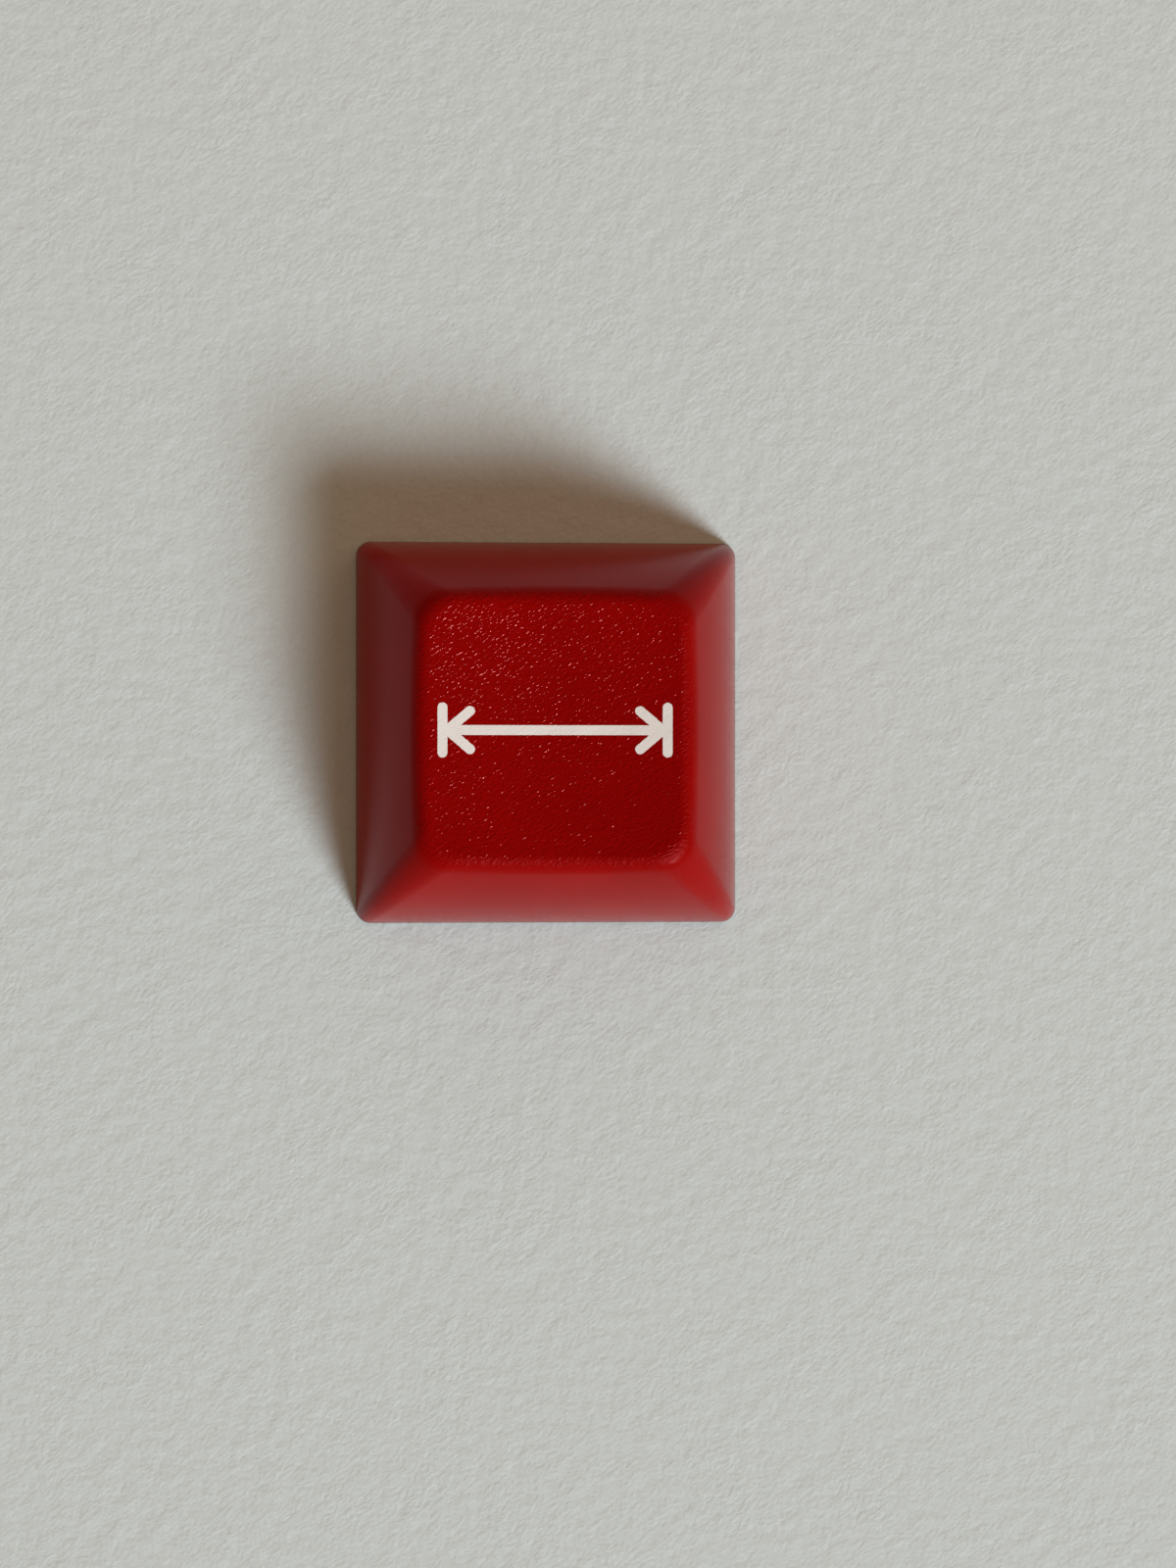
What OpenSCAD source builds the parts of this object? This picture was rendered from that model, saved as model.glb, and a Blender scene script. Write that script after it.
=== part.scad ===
// One-unit keycap with a low square body, a spherical dish, bowed sides and a cross-shaped stem socket.
// The origin is the middle of the rim that the cap stands on. +Z is up and -Y faces the typist.

/* [Body] */
// Width and depth at the base
base_w = 18.2; // [17.8:0.1:18.8]
// Width and depth across the top, between the edges that the rim rounding takes away
top_w = 12.5; // [12:0.1:13.2]
// Height of the middle of the dish above the base
dish_floor_h = 6.9; // [6.2:0.1:8]
// Radius of the spherical dish
dish_r = 60; // [30:1:80]
// How far each side bows out, halfway up
side_bow = 0.4; // [0.2:0.05:0.5]
// How late the corner radius grows on the way up, with 1 for an even growth
corner_growth = 1.5; // [1:0.1:2]
// Corner radius at the base, seen from above
base_corner_r = 0.7; // [0.5:0.1:1.2]
// Corner radius at the top, seen from above
top_corner_r = 1.6; // [1.1:0.1:2]
// Reach of the rounding over the rim, down the side and into the dish
rim_round = 0.6; // [0.3:0.05:0.7]
// Break on the outer edge that the cap stands on
base_edge = 0.12; // [0.06:0.02:0.2]

/* [Walls] */
// Thickness of the side walls, measured level
side_wall = 1.4; // [1.1:0.1:1.5]
// Thickness of the top under the middle of the dish
top_wall = 1.4; // [1.2:0.1:1.8]
// Smallest corner radius inside
inner_corner_r = 0.6; // [0.4:0.1:0.9]
// Rounding where the inside walls meet the underside of the top
inner_round = 0.4; // [0.2:0.1:0.6]

/* [Stem] */
// Diameter of the round boss
boss_d = 5.6; // [5.4:0.1:5.9]
// How far the boss stops short of the base
boss_recess = 0.4; // [0.1:0.1:1]
// Length of both arms of the cross
cross_l = 4.1; // [4:0.05:4.2]
// Width of the arm that runs from left to right
cross_w_x = 1.3; // [1.2:0.05:1.4]
// Width of the arm that runs from front to back
cross_w_y = 1.15; // [1.05:0.05:1.3]
// Depth of the cross, from the end of the boss
cross_depth = 3.8; // [3.5:0.1:4]
// Lead-in around the mouth of the cross
lead_in = 0.2; // [0.1:0.05:0.3]
// Thickness of the ribs that brace the boss
rib_t = 0.9; // [0.7:0.1:1.2]
// Height of the ribs below the top
rib_h = 0.8; // [0.5:0.1:1]

/* [Legend] */
// Width of the mark
legend_w = 10.7; // [9:0.1:11]
// Height of the mark
legend_h = 2.5; // [2:0.1:3]
// Width of its strokes
legend_stroke = 0.45; // [0.35:0.05:0.6]
// Depth of the mark below the middle of the dish
legend_depth = 0.7; // [0.4:0.1:0.9]
// Slope of the arrow heads, rise over run
head_slope = 0.85; // [0.6:0.05:1]

/* [Hidden] */
shell_red = [0.55, 0.01, 0.01];
legend_white = [0.92, 0.90, 0.86];

// Steps round one corner, along one edge, up a side, over the rim and across the dish
corner_steps = 10;
edge_steps = 12;
side_steps = 12;
rim_steps = 4;
dish_steps = 6;
// Steps up the inside wall, and round into the underside of the top
wall_steps = 6;
round_over_steps = 3;
quarter_steps = corner_steps + edge_steps;
round_steps = 4 * quarter_steps;

rim_h = dish_z(top_w / 2);
ceiling_h = dish_floor_h - top_wall;
legend_floor_h = dish_floor_h - legend_depth;
boss_h = ceiling_h - boss_recess;
// How far solids run into each other, cuts run past a face, and the lead-in runs past its own ends
overlap = 0.3;
through = 2;
taper_run = 0.05;

// Height of the dish at a distance from its middle
function dish_z(d) = dish_floor_h + dish_r - sqrt(dish_r * dish_r - d * d);

// Half width and corner radius of the level section at a height
function side_half(z) =
    let (s = z / rim_h)
    base_w / 2 + (top_w - base_w) / 2 * s + 4 * side_bow * s * (1 - s);
function corner_r(z) =
    base_corner_r + (top_corner_r - base_corner_r) * pow(z / rim_h, corner_growth);

// Point k of a rounded square, anticlockwise from the +X side of its first corner
function quarter_turn(p, times) = times == 0 ? p : quarter_turn([-p[1], p[0]], times - 1);
function first_quarter(i, half, r) =
    let (flat = half - r, a = 90 * i / corner_steps)
    i <= corner_steps
        ? [flat + r * cos(a), flat + r * sin(a)]
        : [flat * (1 - 2 * (i - corner_steps) / edge_steps), half];
function outline_point(k, half, r) =
    quarter_turn(first_quarter(k % quarter_steps, half, r), floor(k / quarter_steps));

// Outer side surface, and the height at which it runs into the dish
function side_point(k, z, inset = 0) =
    let (p = outline_point(k, side_half(z) - inset, corner_r(z)))
    [p[0], p[1], z];
function sharp_rim_z(k, z = rim_h, tries = 4) =
    tries == 0 ? z : sharp_rim_z(k, dish_z(norm(outline_point(k, side_half(z), corner_r(z)))), tries - 1);

// Point of the dish under a plan position
function on_dish(x, y) = [x, y, dish_z(norm([x, y]))];

// One line of points up the side, over the rim and in towards the middle of the dish
function meridian(k) =
    let (
        sharp = side_point(k, sharp_rim_z(k)),
        start_z = sharp[2] - rim_round,
        inward = 1 - rim_round / norm([sharp[0], sharp[1]]),
        start = side_point(k, start_z),
        end = on_dish(sharp[0] * inward, sharp[1] * inward)
    )
    concat(
        [side_point(k, 0, base_edge)],
        [for (i = [0:side_steps - 1]) side_point(k, base_edge + (start_z - base_edge) * i / side_steps)],
        [for (i = [0:rim_steps])
            let (t = i / rim_steps)
            start * (1 - t) * (1 - t) + sharp * 2 * t * (1 - t) + end * t * t],
        [for (i = [1:dish_steps - 1])
            let (s = 1 - i / dish_steps)
            on_dish(end[0] * s, end[1] * s)]
    );

// Closed solid through rings of points, with a middle point at each end
module loft(rings, bottom_z, top_z) {
    count = len(rings[0]);
    last = len(rings) - 1;
    low_middle = (last + 1) * count;
    high_middle = low_middle + 1;
    points = concat([for (ring = rings, p = ring) p], [[0, 0, bottom_z], [0, 0, top_z]]);
    walls = [for (i = [0:last - 1], k = [0:count - 1])
        let (
            here = i * count + k,
            next = i * count + (k + 1) % count
        )
        each [[here, here + count, next], [next, here + count, next + count]]];
    ends = [for (k = [0:count - 1])
        let (next = (k + 1) % count)
        each [[low_middle, k, next], [high_middle, last * count + next, last * count + k]]];
    polyhedron(points = points, faces = concat(walls, ends));
}

// Full outer form, with the dish in its top
module outer_form() {
    lines = [for (k = [0:round_steps - 1]) meridian(k)];
    rings = [for (i = [0:len(lines[0]) - 1]) [for (line = lines) line[i]]];
    loft(rings, 0, dish_floor_h);
}

// Level ring of the hollow, one wall inside the outer form at height z
function hollow_ring(z, level, inset) =
    [for (k = [0:round_steps - 1])
        let (
            half = side_half(z) - side_wall - inset,
            p = outline_point(k, half, max(corner_r(z) - side_wall, inner_corner_r))
        )
        [p[0], p[1], level]];

// Hollow under the top
module hollow() {
    wall_top = ceiling_h - inner_round;
    rings = concat(
        [hollow_ring(0, -through, 0)],
        [for (i = [0:wall_steps]) hollow_ring(wall_top * i / wall_steps, wall_top * i / wall_steps, 0)],
        [for (i = [1:round_over_steps])
            let (
                a = 90 * i / round_over_steps,
                z = wall_top + inner_round * sin(a)
            )
            hollow_ring(z, z, inner_round * (1 - cos(a)))]
    );
    loft(rings, -through, ceiling_h);
}

module boss() {
    translate([0, 0, boss_recess])
        cylinder(d = boss_d, h = boss_h + overlap, $fn = 96);
}

// Four ribs from the boss to the middle of the side walls
module ribs() {
    reach = side_half(ceiling_h) - side_wall / 2;
    for (turn = [0, 90])
        rotate(turn)
            translate([-reach, -rib_t / 2, ceiling_h - rib_h])
                cube([2 * reach, rib_t, rib_h + overlap]);
}

// One arm of the cross, with its lead-in
module cross_arm(length, width) {
    translate([-length / 2, -width / 2, -through])
        cube([length, width, through + cross_depth]);
    // The taper is 45 degrees, and runs past both the end of the boss and the walls of the arm
    wide = [length, width] + 2 * (lead_in + taper_run) * [1, 1];
    narrow = [length, width] - 2 * taper_run * [1, 1];
    translate([0, 0, -taper_run])
        linear_extrude(height = lead_in + 2 * taper_run, scale = [narrow[0] / wide[0], narrow[1] / wide[1]])
            square(wide, center = true);
}

module stem_socket() {
    translate([0, 0, boss_recess]) {
        cross_arm(cross_l, cross_w_x);
        rotate(90) cross_arm(cross_l, cross_w_y);
    }
}

// Stroke with round ends, between two points
module stroke(a, b) {
    run = b - a;
    for (end = [a, b])
        translate(end) circle(d = legend_stroke, $fn = 48);
    translate(a)
        rotate(atan2(run[1], run[0]))
            translate([0, -legend_stroke / 2])
                square([norm(run), legend_stroke]);
}

// Plain mark: an arrow with two heads between two upright bars
module legend_mark() {
    bar_x = (legend_w - legend_stroke) / 2;
    bar_y = (legend_h - legend_stroke) / 2;
    tip_x = bar_x - legend_stroke / 2;
    stroke([-tip_x, 0], [tip_x, 0]);
    for (side = [-1, 1]) {
        stroke([side * bar_x, -bar_y], [side * bar_x, bar_y]);
        for (up = [-1, 1])
            stroke([side * tip_x, 0], [side * (tip_x - bar_y), up * bar_y * head_slope]);
    }
}

// Upright block of the mark, from its floor to above the rim
module legend_block() {
    translate([0, 0, legend_floor_h])
        linear_extrude(height = through + rim_h - legend_floor_h) legend_mark();
}

module cap_shell() {
    color(shell_red)
        difference() {
            union() {
                difference() {
                    outer_form();
                    hollow();
                }
                boss();
                ribs();
            }
            stem_socket();
            legend_block();
        }
}

module legend_inlay() {
    color(legend_white)
        intersection() {
            outer_form();
            legend_block();
        }
}

cap_shell();
legend_inlay();
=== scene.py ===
import math

import bmesh
import bpy
from mathutils import Matrix, Vector
from mathutils.noise import noise as noiseAt


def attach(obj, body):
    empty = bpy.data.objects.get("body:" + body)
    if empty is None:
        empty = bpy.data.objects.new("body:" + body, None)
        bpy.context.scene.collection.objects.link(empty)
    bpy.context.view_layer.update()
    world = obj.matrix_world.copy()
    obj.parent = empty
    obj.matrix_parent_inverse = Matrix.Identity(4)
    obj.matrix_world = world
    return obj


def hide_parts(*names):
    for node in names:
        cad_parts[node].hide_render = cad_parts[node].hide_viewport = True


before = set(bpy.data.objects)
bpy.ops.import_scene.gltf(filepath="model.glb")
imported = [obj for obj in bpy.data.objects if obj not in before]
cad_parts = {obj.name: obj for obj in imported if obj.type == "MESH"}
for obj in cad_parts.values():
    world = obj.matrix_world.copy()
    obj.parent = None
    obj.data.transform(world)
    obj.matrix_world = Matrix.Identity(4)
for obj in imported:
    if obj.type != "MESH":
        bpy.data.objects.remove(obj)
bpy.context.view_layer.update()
mm = 0.001
print("frame loaded")


# A value in a node tree that plain formulas can be written with
class Field:
    def __init__(self, tree, socket):
        self.tree = tree
        self.socket = socket

    def math(self, operation, *others):
        node = self.tree.nodes.new("ShaderNodeMath")
        node.operation = operation
        for place, value in enumerate((self,) + others):
            if isinstance(value, Field):
                self.tree.links.new(value.socket, node.inputs[place])
            else:
                node.inputs[place].default_value = value
        return Field(self.tree, node.outputs[0])

    def __add__(self, other):
        return self.math("ADD", other)

    def __sub__(self, other):
        return self.math("SUBTRACT", other)

    def __mul__(self, other):
        return self.math("MULTIPLY", other)

    def __truediv__(self, other):
        return self.math("DIVIDE", other)

    # What is left when it is taken from a whole
    def takenFrom(self, whole):
        return self * -1.0 + whole

    def root(self):
        return self.math("SQRT")

    def power(self, exponent):
        return self.math("POWER", exponent)

    def absolute(self):
        return self.math("ABSOLUTE")

    def atLeast(self, other):
        return self.math("MAXIMUM", other)

    def atMost(self, other):
        return self.math("MINIMUM", other)

    # 1 from a whole number on, 0 before it
    def reached(self, count):
        return self.math("GREATER_THAN", count - 0.5)

    # 0 at low, 1 at high, flat outside
    def part(self, low, high):
        return ((self - low) / (high - low)).atLeast(0.0).atMost(1.0)


# Sizes of the shell, which are the inputs of its trees
shell = {
    "Base width": 18.2 * mm,
    "Top width": 12.5 * mm,
    "Dish floor height": 6.9 * mm,
    "Dish radius": 60.0 * mm,
    "Side bow": 0.4 * mm,
    "Base corner radius": 0.7 * mm,
    "Top corner radius": 1.6 * mm,
    "Corner growth": 1.5,
    "Rim rounding": 0.6 * mm,
    "Base edge": 0.12 * mm,
    "Base nicks": 0.05 * mm,
    "Wall": 1.4 * mm,
    "Top wall": 1.4 * mm,
    "Inner corner radius": 0.6 * mm,
    "Inner rounding": 0.4 * mm,
}
# Rows and columns of its meshes, and how many times the side is brought to meet the dish
shellSteps = {
    "corner": 24,
    "edge": 40,
    "side": 34,
    "rim": 16,
    "dish": 40,
    "hollow": 16,
    "innerRounding": 6,
    "meet": 4,
}
# Noise cells round the base, detail and roughness of the nicks, and the part of the noise that shows
nicks = {"cells": 90.0, "detail": 3.0, "roughness": 0.7, "spread": (0.45, 0.70)}
# How far blocks run past what they join or cut, welding distances and the angle of a sharp edge
making = {"overlap": 0.3 * mm, "through": 2.0 * mm, "seam": 1e-7, "double": 1e-8, "sharpDegrees": 28.0}


# Height of the dish over a point
def dishAt(x, y):
    r = shell["Dish radius"]
    return shell["Dish floor height"] + r - math.sqrt(r * r - x * x - y * y)


rimHeight = dishAt(shell["Top width"] / 2, 0.0)
ceiling = shell["Dish floor height"] - shell["Top wall"]


# A tree with the shell's sizes as its inputs
def startTree(name, material):
    tree = bpy.data.node_groups.new(name, "GeometryNodeTree")
    tree.interface.new_socket(name="Geometry", in_out="OUTPUT", socket_type="NodeSocketGeometry")
    for label, value in shell.items():
        made = tree.interface.new_socket(name=label, in_out="INPUT", socket_type="NodeSocketFloat")
        made.default_value = value
    made = tree.interface.new_socket(name="Material", in_out="INPUT", socket_type="NodeSocketMaterial")
    made.default_value = material
    entry = tree.nodes.new("NodeGroupInput")
    sizes = {label: Field(tree, entry.outputs[label]) for label in shell}
    return tree, entry, sizes


# A grid that is wrapped round into rings. Gives it, the turn from 0 to 4 and the row number
def wrappedGrid(tree, rows):
    around = 4 * (shellSteps["corner"] + shellSteps["edge"])
    grid = tree.nodes.new("GeometryNodeMeshGrid")
    grid.inputs["Size X"].default_value = 1.0
    grid.inputs["Size Y"].default_value = 1.0
    grid.inputs["Vertices X"].default_value = around + 1
    grid.inputs["Vertices Y"].default_value = rows + 1
    place = tree.nodes.new("GeometryNodeInputPosition")
    split = tree.nodes.new("ShaderNodeSeparateXYZ")
    tree.links.new(place.outputs[0], split.inputs[0])
    turn = (Field(tree, split.outputs[0]) + 0.5) * around
    turn = turn.math("ROUND") / (around / 4)
    row = ((Field(tree, split.outputs[1]) + 0.5) * rows).math("ROUND")
    return grid, turn, row


# Point of a rounded square with this half width and corner radius
def roundedSquare(turn, half, radius):
    share = shellSteps["corner"] / (shellSteps["corner"] + shellSteps["edge"])
    aHair = 1e-4  # keeps a whole turn from being rounded down
    quarter = (turn + aHair).math("FLOOR")
    along = turn - quarter
    angle = along.part(0.0, share) * (math.pi / 2)
    flat = half - radius
    run = along.part(share, 1.0)
    x = (flat + radius * angle.math("COSINE")) - flat * run * 2.0
    y = flat + radius * angle.math("SINE")
    swing = quarter * (math.pi / 2)
    c, s = swing.math("COSINE"), swing.math("SINE")
    return x * c - y * s, x * s + y * c


# Half width of the level section at a height, for fields and for plain numbers
def sideHalf(sizes, z, rim):
    s = z / rim
    bow = (s - s * s) * sizes["Side bow"] * 4.0
    return sizes["Base width"] * 0.5 + (sizes["Top width"] - sizes["Base width"]) * 0.5 * s + bow


def cornerRadius(sizes, z, rim):
    share = (z / rim).atLeast(0.0).power(sizes["Corner growth"])
    return sizes["Base corner radius"] + (sizes["Top corner radius"] - sizes["Base corner radius"]) * share


def dishHeight(sizes, x, y):
    r = sizes["Dish radius"]
    return sizes["Dish floor height"] + r - (r * r - (x * x + y * y)).root()


# Height at which the middle of a side would meet the dish
def rimLevel(sizes):
    r = sizes["Dish radius"]
    half = sizes["Top width"] * 0.5
    return sizes["Dish floor height"] + r - (r * r - half * half).root()


# Puts the grid's points in their places and gives the result its material
def endTree(tree, entry, grid, x, y, z):
    join = tree.nodes.new("ShaderNodeCombineXYZ")
    for place, value in enumerate((x, y, z)):
        tree.links.new(value.socket, join.inputs[place])
    put = tree.nodes.new("GeometryNodeSetPosition")
    tree.links.new(grid.outputs["Mesh"], put.inputs["Geometry"])
    tree.links.new(join.outputs[0], put.inputs["Position"])
    seam = tree.nodes.new("GeometryNodeMergeByDistance")
    seam.inputs["Distance"].default_value = making["seam"]
    tree.links.new(put.outputs[0], seam.inputs["Geometry"])
    real = tree.nodes.new("GeometryNodeRealizeInstances")
    tree.links.new(seam.outputs[0], real.inputs[0])
    finish = tree.nodes.new("GeometryNodeSetMaterial")
    tree.links.new(real.outputs[0], finish.inputs["Geometry"])
    tree.links.new(entry.outputs["Material"], finish.inputs["Material"])
    leave = tree.nodes.new("NodeGroupOutput")
    tree.links.new(finish.outputs[0], leave.inputs[0])


# Uneven from place to place along the base edge, from 0 to 1
def edgeNicks(tree):
    place = tree.nodes.new("GeometryNodeInputPosition")
    stretched = tree.nodes.new("ShaderNodeVectorMath")
    stretched.operation = "MULTIPLY"
    stretched.inputs[1].default_value = (nicks["cells"], 0.0, 0.0)
    tree.links.new(place.outputs[0], stretched.inputs[0])
    return noise(tree, stretched.outputs[0], 1.0, nicks["detail"], nicks["roughness"]).part(*nicks["spread"])


# Full outer form: flat base, bowed side, rounded rim and dish
def outerTree(material):
    tree, entry, sizes = startTree("capOuterForm", material)
    firstSide = 2
    firstRim = firstSide + shellSteps["side"]
    firstDish = firstRim + shellSteps["rim"]
    lastRow = firstDish + shellSteps["dish"]
    grid, turn, row = wrappedGrid(tree, lastRow)
    rim = rimLevel(sizes)
    meet = rim
    for _ in range(shellSteps["meet"]):
        x, y = roundedSquare(turn, sideHalf(sizes, meet, rim), cornerRadius(sizes, meet, rim))
        meet = dishHeight(sizes, x, y)
    sharpX, sharpY = roundedSquare(turn, sideHalf(sizes, meet, rim), cornerRadius(sizes, meet, rim))
    startZ = meet - sizes["Rim rounding"]
    inward = (sizes["Rim rounding"] / (sharpX * sharpX + sharpY * sharpY).root()).takenFrom(1.0)
    endX, endY = sharpX * inward, sharpY * inward

    onSide = row.reached(firstSide)
    upSide = row.part(firstSide, firstRim)
    sideZ = (sizes["Base edge"] + (startZ - sizes["Base edge"]) * upSide) * onSide
    inset = (sizes["Base edge"] + edgeNicks(tree) * sizes["Base nicks"]) * onSide.takenFrom(1.0)
    sideX, sideY = roundedSquare(turn, sideHalf(sizes, sideZ, rim) - inset, cornerRadius(sizes, sideZ, rim))

    t = row.part(firstRim, firstDish)
    t0, t1, t2 = t.takenFrom(1.0).power(2.0), t * t.takenFrom(1.0) * 2.0, t * t
    outwards = row.part(firstDish, lastRow).takenFrom(1.0) * row.reached(1)
    x = (sideX * t0 + sharpX * t1 + endX * t2) * outwards
    y = (sideY * t0 + sharpY * t1 + endY * t2) * outwards
    rimZ = sideZ * t0 + meet * t1 + dishHeight(sizes, endX, endY) * t2
    z = rimZ + (dishHeight(sizes, x, y) - rimZ) * row.reached(firstDish + 1)
    endTree(tree, entry, grid, x, y, z)
    return tree


# Hollow under the top, one wall inside the outer form
def hollowTree(material):
    tree, entry, sizes = startTree("capHollow", material)
    firstWall = 2
    firstRound = firstWall + shellSteps["hollow"]
    lastRound = firstRound + shellSteps["innerRounding"]
    lastRow = lastRound + 1
    grid, turn, row = wrappedGrid(tree, lastRow)
    rim = rimLevel(sizes)
    rounding = sizes["Inner rounding"]
    wallTop = sizes["Dish floor height"] - sizes["Top wall"] - rounding
    bend = row.part(firstRound, lastRound) * (math.pi / 2)
    level = wallTop * row.part(firstWall, firstRound) + rounding * bend.math("SINE")
    inset = rounding - rounding * bend.math("COSINE")
    radius = (cornerRadius(sizes, level, rim) - sizes["Wall"]).atLeast(sizes["Inner corner radius"])
    x, y = roundedSquare(turn, sideHalf(sizes, level, rim) - sizes["Wall"] - inset, radius)
    outwards = row.reached(1) - row.reached(lastRow)
    below = row.reached(firstWall).takenFrom(1.0) * making["through"]
    endTree(tree, entry, grid, x * outwards, y * outwards, level - below)
    return tree


def meshObject(name, mesh):
    obj = bpy.data.objects.new(name, mesh)
    bpy.context.scene.collection.objects.link(obj)
    return obj


def plainMesh(obj):
    return bpy.data.meshes.new_from_object(obj.evaluated_get(bpy.context.evaluated_depsgraph_get()))


# Runs a tree on an empty mesh and keeps what it makes
def makeFromTree(name, tree, sizes):
    obj = meshObject(name + "Work", bpy.data.meshes.new(name))
    grow = obj.modifiers.new("form", "NODES")
    grow.node_group = tree
    for item in tree.interface.items_tree:
        if item.in_out == "INPUT" and item.name in sizes:
            grow[item.identifier] = sizes[item.name]
    mesh = plainMesh(obj)
    bpy.data.objects.remove(obj)
    mesh.name = name
    made = meshObject(name, mesh)
    faceOutwards(made)
    return made


def faceOutwards(obj):
    work = bmesh.new()
    work.from_mesh(obj.data)
    bmesh.ops.remove_doubles(work, verts=work.verts, dist=making["double"])
    bmesh.ops.recalc_face_normals(work, faces=work.faces)
    if work.calc_volume(signed=True) < 0:
        bmesh.ops.reverse_faces(work, faces=work.faces)
    work.to_mesh(obj.data)
    work.free()


# Upright block on a closed outline, between two heights
def block(name, outline, low, high, topScale=(1.0, 1.0)):
    count = len(outline)
    points = [(x, y, low) for x, y in outline]
    points += [(x * topScale[0], y * topScale[1], high) for x, y in outline]
    faces = [list(range(count))[::-1], list(range(count, 2 * count))]
    faces += [[i, (i + 1) % count, count + (i + 1) % count, count + i] for i in range(count)]
    mesh = bpy.data.meshes.new(name)
    mesh.from_pydata(points, [], faces)
    return meshObject(name, mesh)


def rectangle(width, depth):
    x, y = width / 2, depth / 2
    return [(-x, -y), (x, -y), (x, y), (-x, y)]


# Joins or cuts with each tool in turn, and removes the tools
def combine(target, tools, operation):
    for tool in tools:
        cut = target.modifiers.new("join", "BOOLEAN")
        cut.operation = operation
        cut.solver = "MANIFOLD"
        cut.object = tool
        mesh = plainMesh(target)
        target.modifiers.remove(cut)
        target.data = mesh
    for tool in tools:
        bpy.data.objects.remove(tool)


def smoothByAngle(obj):
    obj.data.polygons.foreach_set("use_smooth", [True] * len(obj.data.polygons))
    obj.data.set_sharp_from_angle(angle=math.radians(making["sharpDegrees"]))


# Boss with its cross-shaped socket, and the ribs
stem = {
    "boss": 5.6 * mm,
    "bossSteps": 128,
    "recess": 0.4 * mm,
    "crossLength": 4.1 * mm,
    "crossAcross": 1.3 * mm,
    "crossAlong": 1.15 * mm,
    "crossDepth": 3.8 * mm,
    "leadIn": 0.2 * mm,
    "taperRun": 0.05 * mm,
    "ribWidth": 0.9 * mm,
    "ribHeight": 0.8 * mm,
}


def stemParts():
    turns = [math.tau * i / stem["bossSteps"] for i in range(stem["bossSteps"])]
    outline = [(math.cos(turn) * stem["boss"] / 2, math.sin(turn) * stem["boss"] / 2) for turn in turns]
    top = ceiling + making["overlap"]
    parts = [block("boss", outline, stem["recess"], top)]
    reach = sideHalf(shell, ceiling, rimHeight) - shell["Wall"] / 2
    for size in ((2 * reach, stem["ribWidth"]), (stem["ribWidth"], 2 * reach)):
        parts.append(block("rib", rectangle(*size), ceiling - stem["ribHeight"], top))
    return parts


# Both arms of the cross, each with a tapered lead-in that runs a little past its own ends
def socketCuts():
    run = stem["taperRun"]
    low, high = stem["recess"] - run, stem["recess"] + stem["leadIn"] + run
    cuts = []
    for size in ((stem["crossLength"], stem["crossAcross"]), (stem["crossAlong"], stem["crossLength"])):
        cuts.append(block("cross", rectangle(*size), -making["through"], stem["recess"] + stem["crossDepth"]))
        wide = [edge + 2 * (stem["leadIn"] + run) for edge in size]
        narrow = [(edge - 2 * run) / over for edge, over in zip(size, wide)]
        cuts.append(block("leadIn", rectangle(*wide), low, high, narrow))
    return cuts


# The mark: an arrow with two heads between two upright bars
mark = {
    "width": 10.7 * mm,
    "height": 2.5 * mm,
    "stroke": 0.45 * mm,
    "depth": 0.7 * mm,
    "blockTop": 9.0 * mm,
    "headSlope": 0.85,
    "proud": 0.004 * mm,
    "endSteps": 20,
    "edgeStep": 0.06 * mm,
    "rough": 0.022 * mm,
    "roughSize": 0.13 * mm,
}


def markStrokes():
    barX = (mark["width"] - mark["stroke"]) / 2
    barY = (mark["height"] - mark["stroke"]) / 2
    tipX = barX - mark["stroke"] / 2
    strokes = [((-tipX, 0), (tipX, 0))]
    for side in (-1, 1):
        strokes.append(((side * barX, -barY), (side * barX, barY)))
        for up in (-1, 1):
            strokes.append(((side * tipX, 0), (side * (tipX - barY), up * barY * mark["headSlope"])))
    return strokes


# Outline of one stroke with round ends, its edge a little uneven as moulded plastic is
def strokeOutline(start, end):
    along = Vector(end) - Vector(start)
    across = Vector((-along.y, along.x)).normalized() * mark["stroke"] / 2
    angle = math.atan2(along.y, along.x)
    runSteps = max(2, round(along.length / mark["edgeStep"]))
    outline = []
    for centre, first, way in ((end, angle - math.pi / 2, -1), (start, angle + math.pi / 2, 1)):
        for i in range(mark["endSteps"] + 1):
            turn = first + math.pi * i / mark["endSteps"]
            outline.append(Vector(centre) + Vector((math.cos(turn), math.sin(turn))) * mark["stroke"] / 2)
        side = across * -way
        first, last = (end, start) if way < 0 else (start, end)
        for i in range(1, runSteps):
            outline.append(Vector(first).lerp(Vector(last), i / runSteps) + side)
    middle = (Vector(start) + Vector(end)) / 2
    uneven = []
    for point in outline:
        shift = noiseAt((point.x / mark["roughSize"], point.y / mark["roughSize"], 0.0)) * mark["rough"]
        uneven.append(tuple(point + (point - middle).normalized() * shift))
    return uneven


# Upright block of the mark, from its floor to above the rim
def markBlock(name):
    low = shell["Dish floor height"] - mark["depth"]
    blocks = [block(name, strokeOutline(*ends), low, mark["blockTop"]) for ends in markStrokes()]
    combine(blocks[0], blocks[1:], "UNION")
    return blocks[0]


def newMaterial(name):
    material = bpy.data.materials.new(name)
    material.use_nodes = True
    tree = material.node_tree
    return material, tree, tree.nodes["Principled BSDF"]


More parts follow.
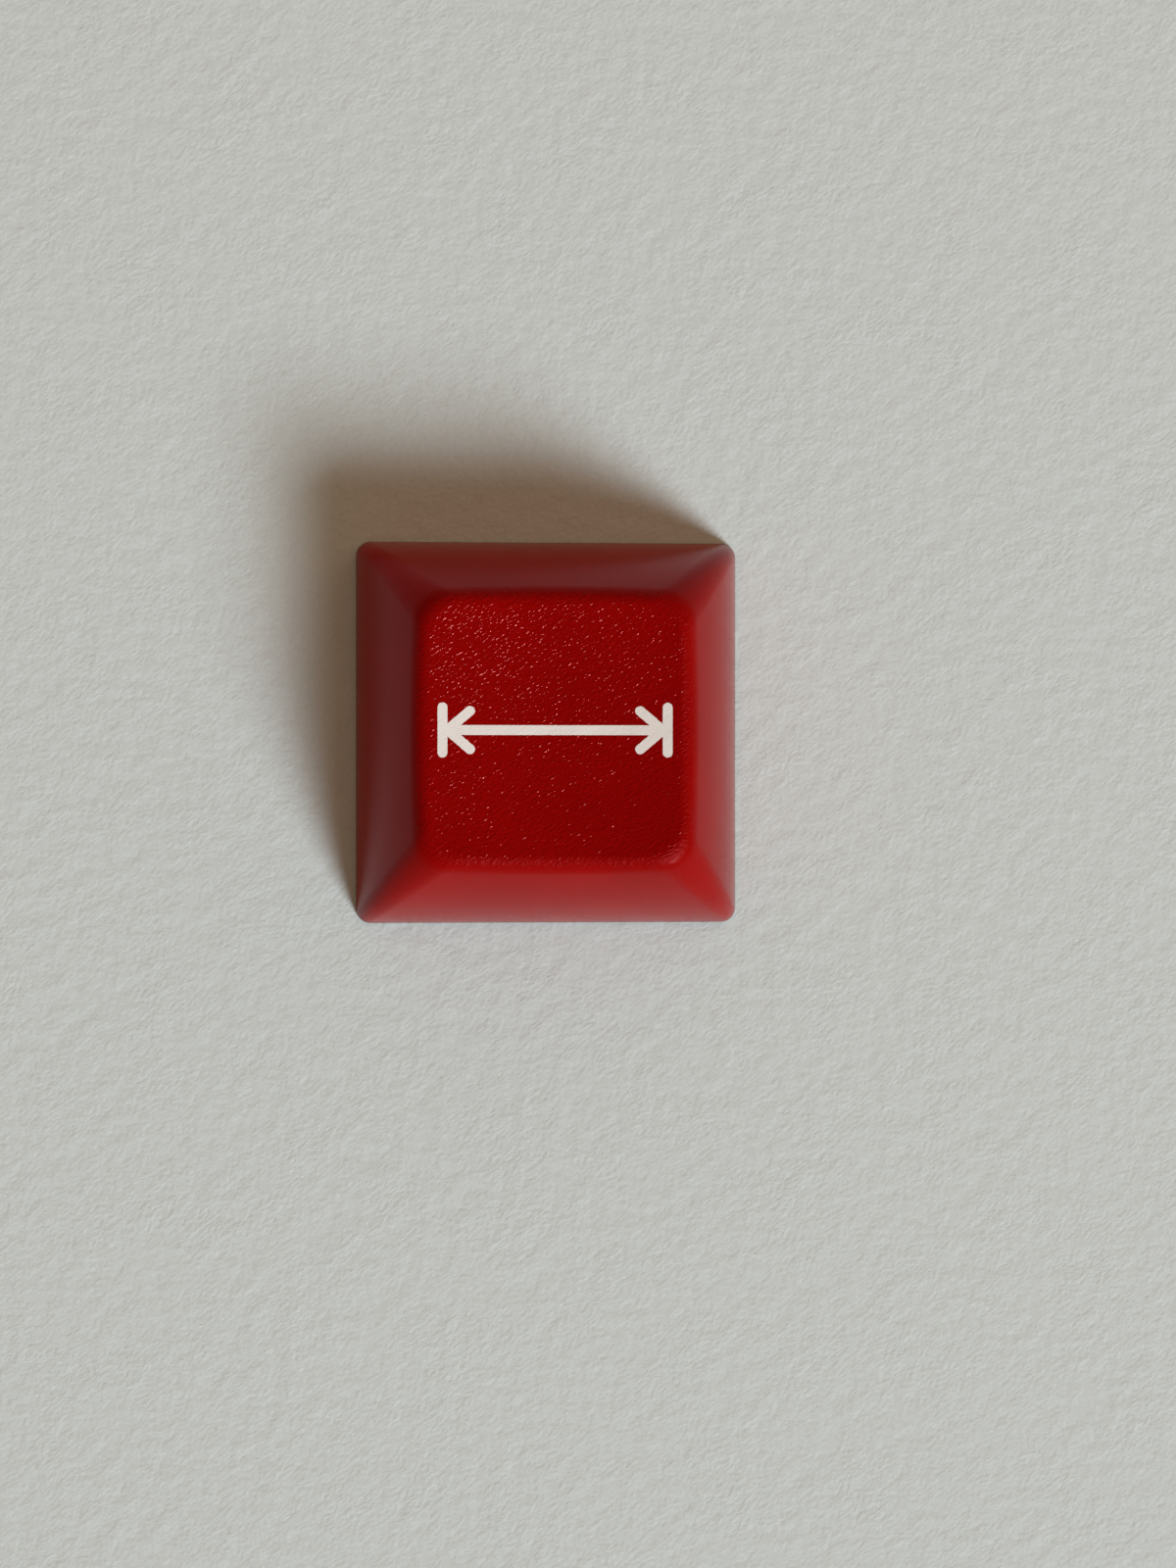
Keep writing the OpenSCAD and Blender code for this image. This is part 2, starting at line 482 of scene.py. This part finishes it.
# Object coordinates, turned and then drawn out along x
def patternSpace(tree, degrees=0.0, stretch=1.0):
    coordinates = tree.nodes.new("ShaderNodeTexCoord")
    turned = tree.nodes.new("ShaderNodeMapping")
    turned.inputs["Rotation"].default_value = (0, 0, math.radians(-degrees))
    tree.links.new(coordinates.outputs["Object"], turned.inputs["Vector"])
    stretched = tree.nodes.new("ShaderNodeMapping")
    stretched.inputs["Scale"].default_value = (1 / stretch, 1, 1)
    tree.links.new(turned.outputs[0], stretched.inputs["Vector"])
    return stretched.outputs[0]


def noise(tree, space, size, detail, roughness):
    node = tree.nodes.new("ShaderNodeTexNoise")
    node.inputs["Scale"].default_value = 1 / size
    node.inputs["Detail"].default_value = detail
    node.inputs["Roughness"].default_value = roughness
    tree.links.new(space, node.inputs["Vector"])
    return Field(tree, node.outputs["Fac"])


# Place on the object, as three fields
def placeOn(tree):
    coordinates = tree.nodes.new("ShaderNodeTexCoord")
    split = tree.nodes.new("ShaderNodeSeparateXYZ")
    tree.links.new(coordinates.outputs["Object"], split.inputs[0])
    return [Field(tree, split.outputs[i]) for i in range(3)]


def mixColours(tree, factor, first, second):
    factorSocket, firstSocket, secondSocket, result = 0, 6, 7, 2
    node = tree.nodes.new("ShaderNodeMix")
    node.data_type = "RGBA"
    for slot, colour in ((firstSocket, first), (secondSocket, second)):
        if isinstance(colour, tuple):
            node.inputs[slot].default_value = colour
        else:
            tree.links.new(colour, node.inputs[slot])
    tree.links.new(factor.socket, node.inputs[factorSocket])
    return node.outputs[result]


def addBump(tree, surface, height, distance):
    bump = tree.nodes.new("ShaderNodeBump")
    bump.inputs["Distance"].default_value = distance
    tree.links.new(height.socket, bump.inputs["Height"])
    tree.links.new(bump.outputs[0], surface.inputs["Normal"])


# The red finishes. A noise is its size, detail and roughness, and a spread is the part of it that shows
plastic = {
    "red": (0.262, 0.0011, 0.0006, 1.0),
    "redDeep": (0.222, 0.0008, 0.0005, 1.0),
    "glossTint": (1.0, 0.25, 0.24, 1.0),
    "dishIor": 1.45,
    "dishRoughness": 0.13,
    "sideIor": 1.2,
    "sideRoughness": 0.2,
    "rimRoughness": 0.38,
    "wear": (0.8 * mm, 4.0, 0.6),
    "wearShare": 0.10,
    "cloud": (4.0 * mm, 3.0, 0.5),
    "speck": (0.13 * mm, 2.0, 0.6),
    "shadeSpread": (0.35, 0.65),
    "speckShare": 0.15,
    # Painted shade: the dark colour of the contact shadow along the foot of the sides
    "paintedEdgeShade": (0.030, 0.0012, 0.0012, 1.0),
    "edgeFade": (0.36 * mm, 0.12 * mm),
    "edgeReach": (0.5 * mm, 0.25 * mm),
    "edgeSpread": (0.30, 0.50),
    "skinDepth": 0.015 * mm,
    "grain": (0.11 * mm, 1.2, 0.5),
    "grainFade": (0.34 * mm, 0.16 * mm),
    "grainStretch": 1.9,
    "grainAngle": 30.0,
    "grainHeight": 0.0200 * mm,
    "pitSpread": (0.42, 0.74),
}


# 1 on the skin of the dish, 0 a little way below it
def onDishSkin(place):
    x, y, z = place
    r = shell["Dish radius"]
    dish = (x * x + y * y).takenFrom(r * r).root().takenFrom(shell["Dish floor height"] + r)
    return (dish - z).absolute().part(*plastic["grainFade"])


# 1 at the foot of the sides, 0 further up and further in under the cap; it places the painted contact shade
# along the base edge
def atBaseEdge(place):
    x, y, z = place
    fromEdge = x.absolute().atLeast(y.absolute()).takenFrom(shell["Base width"] / 2)
    return z.part(*plastic["edgeFade"]) * fromEdge.part(*plastic["edgeReach"])


def redPlastic(name, ior, roughness, skinRoughness):
    material, tree, surface = newMaterial(name)
    plain = patternSpace(tree)
    slanted = patternSpace(tree, plastic["grainAngle"], plastic["grainStretch"])
    place = placeOn(tree)
    skin = onDishSkin(place)
    cloud = noise(tree, plain, *plastic["cloud"]).part(*plastic["shadeSpread"])
    speck = noise(tree, plain, *plastic["speck"])
    shade = (cloud + speck.part(*plastic["shadeSpread"])) * 0.5
    colour = mixColours(tree, shade, plastic["redDeep"], plastic["red"])
    # Painted shade: a dark band broken by noise along the foot of the sides, standing in for the contact
    # shadow where the cap meets the floor
    paintedBaseShade = atBaseEdge(place) * speck.part(*plastic["edgeSpread"])
    tree.links.new(mixColours(tree, paintedBaseShade, colour, plastic["paintedEdgeShade"]), surface.inputs["Base Color"])
    wear = (noise(tree, plain, *plastic["wear"]) - 0.5) * plastic["wearShare"]
    rough = skin * (skinRoughness - roughness) + roughness
    tree.links.new((wear + rough).socket, surface.inputs["Roughness"])
    pits = noise(tree, slanted, *plastic["grain"]).part(*plastic["pitSpread"]) * skin
    addBump(tree, surface, pits + speck * plastic["speckShare"], plastic["grainHeight"])
    surface.inputs["IOR"].default_value = ior
    surface.inputs["Specular Tint"].default_value = plastic["glossTint"]
    return material


inlaid = {
    "light": (0.86, 0.80, 0.73, 1.0),
    "dark": (0.71, 0.63, 0.56, 1.0),
    "cloud": (0.6 * mm, 3.0, 0.5),
    "grain": (0.11 * mm, 2.0, 0.6),
    "grainHeight": 0.012 * mm,
    "roughness": 0.45,
    "roughnessShare": 0.2,
}


def whitePlastic():
    material, tree, surface = newMaterial("whiteInlaidPlastic")
    space = patternSpace(tree, plastic["grainAngle"], plastic["grainStretch"])
    grain = noise(tree, space, *inlaid["grain"])
    cloud = noise(tree, space, *inlaid["cloud"])
    tree.links.new(mixColours(tree, cloud, inlaid["dark"], inlaid["light"]), surface.inputs["Base Color"])
    rough = (grain - 0.5) * inlaid["roughnessShare"] + inlaid["roughness"]
    tree.links.new(rough.socket, surface.inputs["Roughness"])
    addBump(tree, surface, grain, inlaid["grainHeight"])
    return material


paper = {
    "size": 0.6,
    "light": (0.600, 0.622, 0.583, 1.0),
    "dark": (0.548, 0.568, 0.530, 1.0),
    "colourSpread": (0.3, 0.7),
    "roughness": 0.9,
    "specular": 0.2,
    "fibre": (0.18 * mm, 4.0, 0.62),
    "fibreStretch": 1.5,
    "fibreAngle": 38.0,
    "patch": (3.5 * mm, 3.0, 0.6),
    "patchSpread": (0.25, 0.75),
    "patchLeast": 0.3,
    "swell": (0.9 * mm, 2.0, 0.5),
    "swellShare": 1.35,
    "height": 0.048 * mm,
}


def paperFloor():
    mesh = bpy.data.meshes.new("paperFloor")
    corners = [(x, y, 0) for x, y in rectangle(paper["size"], paper["size"])]
    mesh.from_pydata(corners, [], [(0, 1, 2, 3)])
    floor = meshObject("paperFloor", mesh)
    material, tree, surface = newMaterial("palePaper")
    plain = patternSpace(tree)
    fibre = noise(tree, patternSpace(tree, paper["fibreAngle"], paper["fibreStretch"]), *paper["fibre"])
    shade = fibre.part(*paper["colourSpread"])
    tree.links.new(mixColours(tree, shade, paper["dark"], paper["light"]), surface.inputs["Base Color"])
    surface.inputs["Roughness"].default_value = paper["roughness"]
    surface.inputs["Specular IOR Level"].default_value = paper["specular"]
    patch = noise(tree, plain, *paper["patch"]).part(*paper["patchSpread"])
    patch = patch * (1 - paper["patchLeast"]) + paper["patchLeast"]
    swell = noise(tree, plain, *paper["swell"]) * paper["swellShare"]
    addBump(tree, surface, fibre * patch + swell, paper["height"])
    mesh.materials.append(material)


view = {
    "from": (-8.12 * mm, -2.25 * mm, 140 * mm),
    "to": (2.0 * mm, -2.46 * mm, 0.0),
    "pixelsPerMm": 21.3,
    "imageHeight": 1600,
    "sensorHeight": 36.0,
    "clipStart": 0.005,
}


def setCamera():
    start, end = Vector(view["from"]), Vector(view["to"])
    seenHeight = view["imageHeight"] / view["pixelsPerMm"] * mm
    data = bpy.data.cameras.new("camera")
    data.sensor_fit = "VERTICAL"
    data.sensor_height = view["sensorHeight"]
    data.lens = (end - start).length * view["sensorHeight"] / seenHeight
    data.clip_start = view["clipStart"]
    camera = bpy.data.objects.new("camera", data)
    bpy.context.scene.collection.objects.link(camera)
    camera.location = start
    aim = (end - start).normalized()
    right = (Vector((1, 0, 0)) - aim * aim.x).normalized()
    camera.rotation_euler = Matrix((right, right.cross(aim), -aim)).transposed().to_euler()
    bpy.context.scene.camera = camera


# One window low at the lower right, warm fill from above, and the room around
light = {
    "toLight": (0.61, -0.79),
    "elevation": 33.0,
    "distance": 3.0,
    "size": 1.02,
    "power": 113.0,
    "colour": (0.90, 1.01, 1.11),
    "fillSize": 1.2,
    "fillHeight": 0.5,
    "fillPower": 1.85,
    "fillFrom": (0.15, 0.65, 1.0),
    "fillColour": (1.0, 0.63, 0.40),
    "backdrop": (0.50, 0.42, 0.33, 1.0),
    "room": (0.03, 0.022, 0.016, 1.0),
    "backdropEnd": (0.15, 0.50),
}


def areaLamp(name, size, power, colour, direction, distance):
    data = bpy.data.lights.new(name, "AREA")
    data.shape = "SQUARE"
    data.size = size
    data.energy = power
    data.color = colour
    lamp = bpy.data.objects.new(name, data)
    bpy.context.scene.collection.objects.link(lamp)
    lamp.location = direction * distance
    lamp.rotation_euler = direction.to_track_quat("Z", "Y").to_euler()
    return lamp


def setLight():
    flat = Vector((light["toLight"][0], light["toLight"][1], 0)).normalized()
    rise = math.radians(light["elevation"])
    towards = flat * math.cos(rise) + Vector((0, 0, math.sin(rise)))
    areaLamp("window", light["size"], light["power"], light["colour"], towards, light["distance"])
    above = Vector(light["fillFrom"]).normalized()
    fill = areaLamp(
        "fill", light["fillSize"], light["fillPower"], light["fillColour"], above, light["fillHeight"]
    )
    fill.visible_glossy = False  # soft room light, too dim to mirror
    fill.visible_camera = False
    setRoom()
    bpy.context.scene.view_settings.view_transform = "Standard"


# Pale backdrop up to a little over the horizon, dim room above
def setRoom():
    world = bpy.data.worlds.new("room")
    world.use_nodes = True
    tree = world.node_tree
    direction = tree.nodes.new("ShaderNodeTexCoord")
    split = tree.nodes.new("ShaderNodeSeparateXYZ")
    tree.links.new(direction.outputs["Generated"], split.inputs[0])
    high = Field(tree, split.outputs[2]).part(*light["backdropEnd"])
    path = tree.nodes.new("ShaderNodeLightPath")
    unseen = Field(tree, path.outputs["Is Camera Ray"]).takenFrom(1.0)
    colour = mixColours(tree, high * unseen, light["backdrop"], light["room"])
    tree.links.new(colour, tree.nodes["Background"].inputs["Color"])
    bpy.context.scene.world = world


red = redPlastic("redSides", plastic["sideIor"], plastic["sideRoughness"], plastic["rimRoughness"])
redDish = redPlastic("redDish", plastic["dishIor"], plastic["dishRoughness"], plastic["dishRoughness"])
white = whitePlastic()
print("finishes made")

cap = makeFromTree("capShell", outerTree(red), shell)
print("outer form made")
dishCopy = meshObject("dishCopy", cap.data.copy())
for vertex in dishCopy.data.vertices:
    vertex.co.z += mark["proud"]
combine(cap, [makeFromTree("hollow", hollowTree(red), shell)], "DIFFERENCE")
combine(cap, stemParts(), "UNION")
combine(cap, socketCuts() + [markBlock("pocket")], "DIFFERENCE")
print("shell cut")
inlay = markBlock("markInlay")
combine(inlay, [dishCopy], "INTERSECT")
print("mark cut")

pieces = ((cap, (red, redDish), "cap_shell"), (inlay, (white,), "legend_inlay"))
for obj, materials, node in pieces:
    smoothByAngle(obj)
    obj.data.materials.clear()
    for material in materials:
        obj.data.materials.append(material)
    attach(obj, "root")
    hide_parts(node)
for face in cap.data.polygons:
    x, y, z = face.center
    onDish = dishAt(x, y) - z < plastic["skinDepth"]
    face.material_index = 1 if onDish else 0
print("pieces placed", len(cap.data.polygons), len(inlay.data.polygons))

paperFloor()
setCamera()
setLight()
print("camera and light set")
